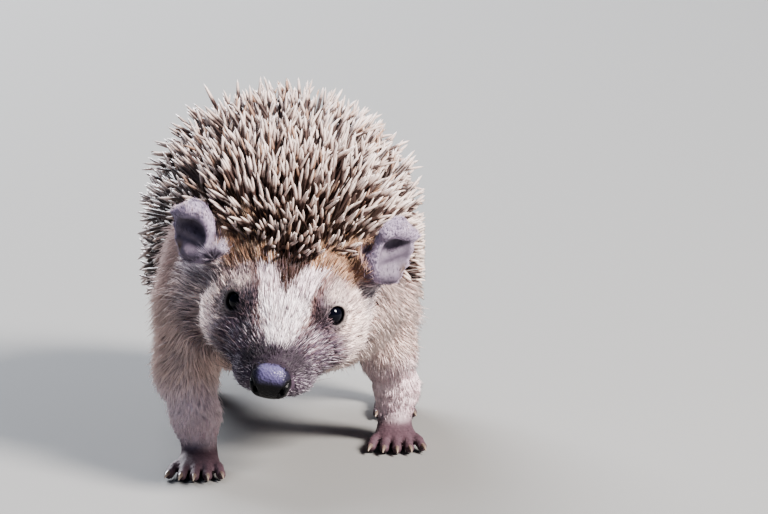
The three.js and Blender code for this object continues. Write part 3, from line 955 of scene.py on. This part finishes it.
def tree_of(spots):
    """A search tree of points."""
    tree = KDTree(len(spots))
    for i, spot in enumerate(spots):
        tree.insert(spot, i)
    tree.balance()
    return tree


def spaced(spots, gap):
    """The numbers of points that keep their own gap to all the points kept before them."""
    tree = tree_of(spots)
    free = np.ones(len(spots), bool)
    kept = []
    for i, spot in enumerate(spots):
        if free[i]:
            kept.append(i)
            free[[j for _, j, _ in tree.find_range(spot, gap[i])]] = False
    return np.array(kept)


def flat(v, normal):
    """The part of v that lies in the skin, at length 1."""
    return unit(v - (v * normal).sum(1, keepdims=True) * normal)


# ------------------------------------------------------------------ quills
# Stiff hollow spines, about 17 mm long and 1 mm thick, with a pale root, a dark brown band and
# a cream tip. They spread from the middle of the brow and lean back over the body.

QUILL_LENGTH, QUILL_RADIUS = 17.0, 0.54
QUILL_OUTLINE = [(0, 0.6), (0.12, 0.85), (0.5, 1.0), (0.78, 0.94), (0.92, 0.60), (1, 0)]
QUILL_DEPTH = 0.5  # of the root in the skin
PLACES = 80000  # tried; a quill stands on those that keep their gap
rng = np.random.default_rng(11)
brow = on_head(0, 33, 8)
wanted = (quilled(skin_middle) > 0) & (in_ear(skin_middle)[0] < 0.3)
spots, normals, uv = sow(PLACES, wanted, rng)
front = 1 - ramp(spots[:, 1] - nose_tip[1], 44, 84)
gap = 1.72 - 0.56 * front
kept = spaced(spots, gap)
spots, normals, uv, front = spots[kept], normals[kept], uv[kept], front[kept]
inside = quilled(spots)
count = len(spots)
# they lean away from the middle of the brow, on the body more to the rear and down the flanks
away = spots - brow
away[:, 1] += 26 * (1 - front)
away[:, 2] -= 18 * ramp(np.abs(spots[:, 0] - axis_x), 18, 36) * (1 - front)
lie = flat(away, normals)
off = (spots - brow) / [17, 30, 27]
centre = np.exp(-((off * off).sum(1)))
# the lean swings from quill to quill, from lock to lock, and slowly along the body
x, y, z = spots.T
drift = np.sin(0.55 * x + 0.3 * y) + np.sin(0.5 * y - 0.42 * z + 1) + np.sin(0.6 * z + 0.35 * x + 2)
side = np.cross(normals, lie)
heads = rng.choice(count, count // 8, replace=False)
lock_tree = tree_of(spots[heads])
lock = np.array([lock_tree.find(spot)[1] for spot in spots])
swing = 0.6 * rng.normal(0, 1, count) + 0.8 * rng.normal(0, 1, count)[lock]
swing = swing * np.radians(25 + 12 * front + 50 * centre) + np.radians(7) * drift
lie = np.cos(swing)[:, None] * lie + np.sin(swing)[:, None] * side
# quills stand up most at the front, and lie lower on the flanks and at the rump
low = ramp(np.abs(x - axis_x), 14, 32)
lift = 38 + 28 * front**1.5 - 15 * low * (1 - 0.35 * front)
lift = lift - 14 * ramp(y, coat_high[1] - 34, coat_high[1] - 12)
lift = np.radians(lift + np.clip(rng.normal(0, 10, count) + rng.normal(0, 8, count)[lock], -24, 24))
way = np.cos(lift)[:, None] * lie + np.sin(lift)[:, None] * normals
bend = unit(way + 0.10 * lie)
length = QUILL_LENGTH * (0.57 + 0.43 * ramp(inside, -1, 9)) * (1 - 0.22 * front)
length = length * rng.normal(1, 0.09, count)
# one that would pass the coat's box on the left, right, top or rear is made shorter
reach = length[:, None] * (way + bend) / 2
room = [coat_high[0] + 0.8 - x, x - coat_low[0] + 0.8, coat_high[2] + 1.5 - z, coat_high[1] + 1 - y]
goes = [reach[:, 0], -reach[:, 0], reach[:, 2], reach[:, 1]]
length *= np.clip((np.array(room) / np.maximum(goes, 1e-3)).min(0), 0.6, 1)
radius = QUILL_RADIUS * rng.normal(1, 0.08, count) * (0.9 + 0.1 * ramp(inside, -1, 7)) * (1 - 0.04 * front)
brown = (rng.random(count) < 0.07)[:, None]
shade = np.where(brown, srgb(200, 180, 164), 1.0) * rng.normal(1, 0.12, count)[:, None]
quill_finish = Finish("quill", Roughness=0.42)
along = quill_finish.attribute("along")
streaks = quill_finish.noise(2600.0, 2.0)
bands = quill_finish.ramp(
    along + (streaks - 0.5) * 0.07,
    (0.0, (0.42, 0.33, 0.27)),
    (0.14, (0.34, 0.25, 0.20)),
    (0.30, (0.085, 0.055, 0.048)),
    (0.67, (0.066, 0.040, 0.035)),
    (0.74, (0.44, 0.335, 0.295)),
    (0.88, (0.60, 0.50, 0.46)),
)
quill_finish.set(Base_Color=quill_finish.times(bands, quill_finish.attribute("shade", "Color")))
quill_finish.bump(quill_finish.noise(4200.0, 2.0), 0.3, 0.00008)
spikes(
    "quills", spots - QUILL_DEPTH * normals, way, bend, length, radius, QUILL_OUTLINE,
    sides=4, uv=uv, shade=shade, finish=quill_finish,
    shift=0.15 * centre - 0.03 + rng.normal(0, 0.03, count),
)

# ------------------------------------------------------------------ hair: how it lies
# Hair leaves the nose in all directions, parts round the eyes, runs back over the cheeks and
# the body, and down the legs to the toes.


def lie_of(p, normals):
    """Direction of the coat in the skin: away from the nose on the head, back and down on the
    body, down the legs and forward on the feet, each faded into the next."""
    left, back, up = in_head(p).T
    head = head_part(p)[:, None]
    way = unit(np.stack([1.15 * left, back - 5.5, up + 1.0], 1) @ head_axes)
    for at in eye_at.values():
        apart = p - at
        near = 1 - ramp(np.linalg.norm(apart, axis=1), 3.6, 8.0)
        apart = apart - np.minimum((apart * way).sum(1), 0)[:, None] * way
        way = unit(way + 1.3 * near[:, None] * unit(apart))
    x, y, z = p.T
    none, one = np.zeros(len(p)), np.ones(len(p))
    body = np.stack([0.25 * np.sign(x - axis_x), one, -0.55 - 0.9 * ramp(-y, 10, 45)], 1)
    leg = np.stack([none, 0.2 - 1.2 * (1 - ramp(z, 5, 11)), -0.9 * one], 1)
    high = ramp(z, 20, 30)[:, None]
    rest = unit(leg) * (1 - high) + unit(body) * high
    way = unit(way) * head + rest * (1 - head)
    ear = in_ear(p)[0][:, None]
    for name, axes in ear_axes.items():
        apart = p - ear_at[name]
        mine = (np.linalg.norm(apart, axis=1) < 12)[:, None] * ear
        way = way * (1 - mine) + mine * unit(apart + 14 * axes[2])
    return flat(way, normals)


HAIR_DEPTH = 0.25  # of the root in the skin
HAIR_OUTLINES = {  # by the number of rings
    2: [(0, 1.0), (0.5, 0.8), (1, 0)],
    3: [(0, 0.9), (0.34, 1.0), (0.7, 0.62), (1, 0)],
}


def grow(
    name, density, long, finish, rng, count, thick, rise,
    rings=2, jitter=0.16, flicker=0.12, gather=0.35, stray=0.06, tone=markings,
):
    """Hairs over a part of the skin, long(place) long and about thick in radius. They leave it
    at the first angle of rise and end at the second, in degrees. jitter spreads their
    directions and flicker their brightness; gather draws their tips towards the tip of the
    middle hair of their lock, and stray is the share of hairs that stand off the rest."""
    spots, normals, uv = sow(count, density(skin_middle), rng)
    lie = lie_of(spots, normals)
    side = np.cross(normals, lie)
    swing = rng.normal(0, jitter, count)[:, None]
    lie = unit(lie + swing * side)
    loose = 24 * (rng.random(count) < stray)
    rise_in, rise_out = (np.radians(angle + loose + rng.normal(0, 5, count))[:, None] for angle in rise)
    start = np.cos(rise_in) * lie + np.sin(rise_in) * normals
    end = np.cos(rise_out) * lie + np.sin(rise_out) * normals
    length = long(spots) * rng.normal(1, 0.14, count)
    heads = rng.choice(count, count // 9, replace=False)
    tree = tree_of(spots[heads])
    near = heads[[tree.find(spot)[1] for spot in spots]]
    tips = spots + length[:, None] * (start + end) / 2
    end = end + 2 * gather * (tips[near] - tips) / length[:, None]
    lock = rng.normal(1, flicker * 0.6, count)[near]
    bright = np.clip(lock * rng.normal(1, flicker, count), 0.25, 2.2)[:, None]
    seen = spots + rng.normal(0, 0.55, (count, 3))
    shade = tone(seen) * bright
    radius = thick * (0.6 + 0.4 * np.clip(length / 5, 0, 1.4)) * rng.normal(1, 0.12, count)
    spikes(
        name, spots - HAIR_DEPTH * normals, start, end, length, radius, HAIR_OUTLINES[rings],
        sides=3, uv=uv, shade=shade, finish=finish,
    )


def fur_finish(name, roughness):
    """Soft hair: the marking's colour, darker at the root than at the tip, partly the hair's own paler tips
    and partly painted shade deep in the coat.
    """
    made = Finish(name, Roughness=roughness, Specular_IOR_Level=0.3)
    made.set(Sheen_Weight=0.08, Sheen_Roughness=0.5)
    root_shade_and_tip = made.attribute("along") * 0.36 + 0.78
    patchy = made.noise(700.0, 2.0) * 0.24 + 0.88
    made.set(Base_Color=made.scaled(made.attribute("shade", "Color"), root_shade_and_tip * patchy))
    return made


# ------------------------------------------------------------------ hair of the face
# Short and fine round the nose and longer over the cheeks, with tan hair that stands up
# among the roots of the first quills.

face_finish = fur_finish("face_fur", 0.55)


def face_density(p):
    """The head without its bare and its quilled parts, closer towards the nose."""
    back = in_head(p)[:, 1]
    bare = (by_eye(p) < 4.1) | (nose_pad(p) > 0.4) | (in_ear(p)[0] > 0.4) | (quilled(p) > 0.5)
    return head_part(p) * ~bare * (1 + 0.8 * (1 - ramp(back, 14, 26)))


def by_ear(p):
    """Distance to the middle of the nearer ear."""
    return np.minimum(*(np.linalg.norm(p - at, axis=1) for at in ear_at.values()))


def face_length(p):
    """Longer away from the nose, shorter round the eyes and at the foot of the ears."""
    left, back = in_head(p).T[:2]
    long = between(back, (6, 1.5), (9, 2.0), (14, 2.8), (20, 3.8), (28, 4.4), (36, 5.0), (46, 5.4))
    long = long * (0.42 + 0.58 * ramp(by_eye(p), 4.0, 8.5))
    return long * (1 - 0.55 * (1 - ramp(by_ear(p), 10, 14)) * ramp(np.abs(left), 21, 24))


rng = np.random.default_rng(21)  # all hair draws from it, in the order it grows


def face_tone(p):
    """The markings, with pale hairs mixed in on the muzzle and dark ones further back."""
    back, up = in_head(p).T[1:]
    by_nose = (1 - ramp(back, 10, 13)) * ramp(up, 0, 3)
    pale = (rng.random(len(p)) < 0.24) * (1 - ramp(back, 18, 26)) * ramp(by_eye(p), 6, 9) * (1 - by_nose)
    tone = over(markings(p), srgb(208, 198, 206), 0.75 * pale)
    dark = (rng.random(len(p)) < 0.25) * ramp(back, 10, 13)
    return over(tone, srgb(132, 108, 114), 0.75 * dark)


grow(
    "face_fur", face_density, face_length, face_finish, rng, count=44000, thick=0.13,
    rise=(25, 6), jitter=0.11, flicker=0.2, gather=0.22, stray=0.07, tone=face_tone,
)


def brow_density(p):
    """A strip along the edge of the quills, from beside the blaze out to the ears."""
    inside = quilled(p)
    side = np.abs(in_head(p)[:, 0])
    strip = ramp(inside, -5, -2.5) * (1 - 0.5 * ramp(inside, 0.5, 2.5)) * (1 - ramp(inside, 5, 8))
    return strip * head_part(p) * ramp(side, 3.5, 7) * (in_ear(p)[0] < 0.3) * (by_eye(p) > 7)


def brow_length(p):
    """A little longer among the quills than before them."""
    return 5.2 + 1.2 * ramp(quilled(p), 0, 3)


def brow_tone(p):
    """Tan hairs mixed with pale and dark ones, greyer towards the ears."""
    side = np.abs(in_head(p)[:, 0])
    kind = rng.random(len(p))
    tone = np.where((kind < 0.5)[:, None], srgb(172, 134, 108), srgb(206, 180, 156))
    tone = np.where((kind > 0.8)[:, None], srgb(112, 84, 72), tone)
    return over(tone, srgb(190, 178, 180), 0.85 * ramp(side, 19, 24))


grow(
    "brow_fur", brow_density, brow_length, face_finish, rng, count=9000, thick=0.10,
    rise=(32, 20), rings=3, flicker=0.2, tone=brow_tone,
)

# ------------------------------------------------------------------ hair of the neck, flanks and belly
# Pale hair, coarser and longer than that of the face. It is rooted in the skin and lies back
# and down, from behind the cheeks to the tail.

body_finish = fur_finish("body_fur", 0.6)


def on_leg(p):
    """1 below the belly on the legs and feet, 0 elsewhere."""
    return (1 - head_part(p)) * (1 - ramp(p[:, 2], 23, 26)) * (np.abs(p[:, 0] - axis_x) > 10)


def body_density(p):
    """The body without head, legs, ears and quilled part."""
    bare = (in_ear(p)[0] > 0.4) | (quilled(p) > 1.5)
    return (1 - head_part(p)) * (1 - on_leg(p)) * ~bare


def body_length(p):
    """Shorter low on the chest, behind the ears and at the tail."""
    long = 7.4 - 2.8 * (1 - ramp(p[:, 2], 28, 46)) * (1 - ramp(p[:, 1], 0, 30))
    long = long * (0.5 + 0.5 * ramp(by_ear(p), 11, 18))
    return long - 3.0 * ramp(p[:, 1], coat_high[1] - 9, coat_high[1] + 3)


grow(
    "body_fur", body_density, body_length, body_finish, rng, count=39000, thick=0.12,
    rise=(21, 5), jitter=0.12, flicker=0.09, gather=0.18, stray=0.04,
)

# ------------------------------------------------------------------ hair of the legs and feet
# Short, close hair that lies down the legs and gets shorter towards the toes. The soles are
# bare.

leg_finish = fur_finish("leg_fur", 0.6)


def leg_density(p):
    """The legs and feet, thinner on the feet, with bare soles."""
    return on_leg(p) * (p[:, 2] > 2.2) * (0.35 + 0.65 * ramp(p[:, 2], 4, 9))


def leg_length(p):
    """Shorter towards the floor."""
    return between(p[:, 2], (2, 0.9), (5, 1.2), (10, 2.2), (18, 3.6), (26, 5.5))


grow(
    "leg_fur", leg_density, leg_length, leg_finish, rng, count=14000, thick=0.14,
    rise=(18, 5), jitter=0.11, flicker=0.08, stray=0.02,
)

# ------------------------------------------------------------------ hair of the ears
# A fine soft down on the back and rim of the ears, thin in their bowls, and a fan of longer
# pale hairs that grows on the head beside each ear and crosses the front of its bowl.

ear_finish = fur_finish("ear_fur", 0.6)


def ear_density(p):
    """The back and rim of the ears, and thinly their bowls."""
    ear, bowl = in_ear(p)[:2]
    return (ear > 0.4) * (1 - 0.86 * bowl)


grow(
    "ear_fur", ear_density, lambda p: 1.9, ear_finish, rng, count=7000, thick=0.085,
    rise=(18, 6), flicker=0.2,
)


def fan_density(p):
    """1 on the head just inside the front edge of each ear, 0 elsewhere."""
    near = np.zeros(len(p))
    for name, side in (("left", 1), ("right", -1)):
        out, back, up = ((p - ear_at[name]) @ ear_axes[name].T).T
        out = side * out
        inner = (out < -3.5) & (out > -9.5) & (up < 3) & (up > -9) & (back < 1)
        near = np.maximum(near, inner)
    return near * (in_ear(p)[0] < 0.6)


grow(
    "ear_fan", fan_density, lambda p: 7.5, ear_finish, rng, count=520, thick=0.05,
    rise=(34, 22), rings=3, gather=0.1, tone=lambda p: srgb(168, 158, 174),
)

# ------------------------------------------------------------------ whiskers
# A few long hairs, stiffer and darker than the coat, which are rooted on each side of the
# muzzle and stand off it.

whisker_finish = fur_finish("whisker", 0.4)


def whisker_density(p):
    """The sides of the muzzle."""
    left, back, up = in_head(p).T
    return (np.abs(left) > 4) * (back > 9) * (back < 19) * (up > -6) * (up < 2.5)


grow(
    "whiskers", whisker_density, lambda p: 11.0, whisker_finish, rng, count=26, thick=0.05,
    rise=(38, 14), rings=3, gather=0.0, flicker=0.3, tone=lambda p: srgb(96, 84, 84),
)

# ------------------------------------------------------------------ claws
# A slender, slightly curved claw of horn on every toe, dark at its root, which is let into
# the end of the toe.

CLAW_OUTLINE = [(0, 0.9), (0.12, 1.0), (0.35, 0.85), (0.6, 0.6), (0.82, 0.34), (0.95, 0.13), (1, 0)]
CLAW_RADIUS, CLAW_DEPTH = 0.78, 0.6
claw_finish = Finish("claw", Roughness=0.35, Coat_Weight=0.3)
grain = claw_finish.noise(900.0)
horn = claw_finish.ramp(
    claw_finish.attribute("along") + (grain - 0.5) * 0.3,
    (0.0, (0.09, 0.06, 0.05)),
    (0.5, (0.15, 0.11, 0.09)),
    (1.0, (0.30, 0.24, 0.19)),
)
claw_finish.set(Base_Color=horn)
claw_at, claw_way, claw_long = (np.array(column) for column in zip(*claw_roots))
count = len(claw_at)
spikes(
    "claws", claw_at - CLAW_DEPTH * claw_way, unit(claw_way + [0, 0, 0.18]), unit(claw_way + [0, 0, -0.75]),
    claw_long, np.full(count, CLAW_RADIUS), CLAW_OUTLINE, sides=10, uv=np.full((count, 2), 0.5),
    shade=np.ones((count, 3)), finish=claw_finish,
)

# ------------------------------------------------------------------ floor, light and camera
# The model stands on a plain grey floor that curves up into a backdrop, under three soft
# lamps and in a dim blue surround.

sweep = bpy.data.meshes.new("backdrop")
profile = [(-2.5, 0), (1.2, 0)]
profile += [(1.2 + 0.9 * math.sin(a), 0.9 - 0.9 * math.cos(a)) for a in np.linspace(0.1, math.pi / 2, 14)]
profile += [(2.1, 3.2)]
rows = [(x, y, z) for y, z in profile for x in (-3.0, 3.0)]
sweep.from_pydata(rows, [], [(2 * i, 2 * i + 1, 2 * i + 3, 2 * i + 2) for i in range(len(profile) - 1)])
sweep.shade_smooth()
floor = bpy.data.objects.new("floor", sweep)
bpy.context.scene.collection.objects.link(floor)
sweep.materials.append(Finish("floor_paint", Base_Color=(0.21, 0.21, 0.205, 1), Roughness=0.9).made)


def lamp(name, place, size, power, colour):
    """A square soft light at a place in metres, facing the middle of the animal."""
    light = bpy.data.lights.new(name, "AREA")
    light.size, light.energy, light.color = size, power, colour
    made = bpy.data.objects.new(name, light)
    made.location = place
    made.rotation_euler = (Vector((0, 0, 0.05)) - Vector(place)).to_track_quat("-Z", "Y").to_euler()
    bpy.context.scene.collection.objects.link(made)


lamp("key", (1.10, -0.80, 1.13), size=0.5, power=104, colour=(1.0, 0.94, 0.885))
lamp("sky", (-0.50, 0.20, 1.6), size=0.7, power=8, colour=(0.9, 0.93, 1.0))
lamp("back", (-0.55, 1.35, 1.0), size=0.8, power=58, colour=(0.93, 0.95, 1.0))
world = bpy.data.worlds.new("studio")
world.use_nodes = True
surround = world.node_tree.nodes["Background"].inputs
surround["Color"].default_value = (0.42, 0.60, 1.0, 1)
surround["Strength"].default_value = 0.19
bpy.context.scene.world = world

# The camera looks at the face from straight ahead and a little above, from 1.6 m away.
CAMERA_DISTANCE, CAMERA_RISE = 1.6, math.radians(11)
aim = nose_tip / 1000 + np.array([0.0306, 0.026, 0.0305])
lens = bpy.data.cameras.new("camera")
lens.sensor_width, lens.lens = 36, 277.78
camera = bpy.data.objects.new("camera", lens)
camera.location = aim + CAMERA_DISTANCE * np.array([0, -math.cos(CAMERA_RISE), math.sin(CAMERA_RISE)])
camera.rotation_euler = (math.pi / 2 - CAMERA_RISE, 0, 0)
bpy.context.scene.collection.objects.link(camera)
bpy.context.scene.camera = camera
bpy.context.scene.view_settings.look = "AgX - Medium High Contrast"
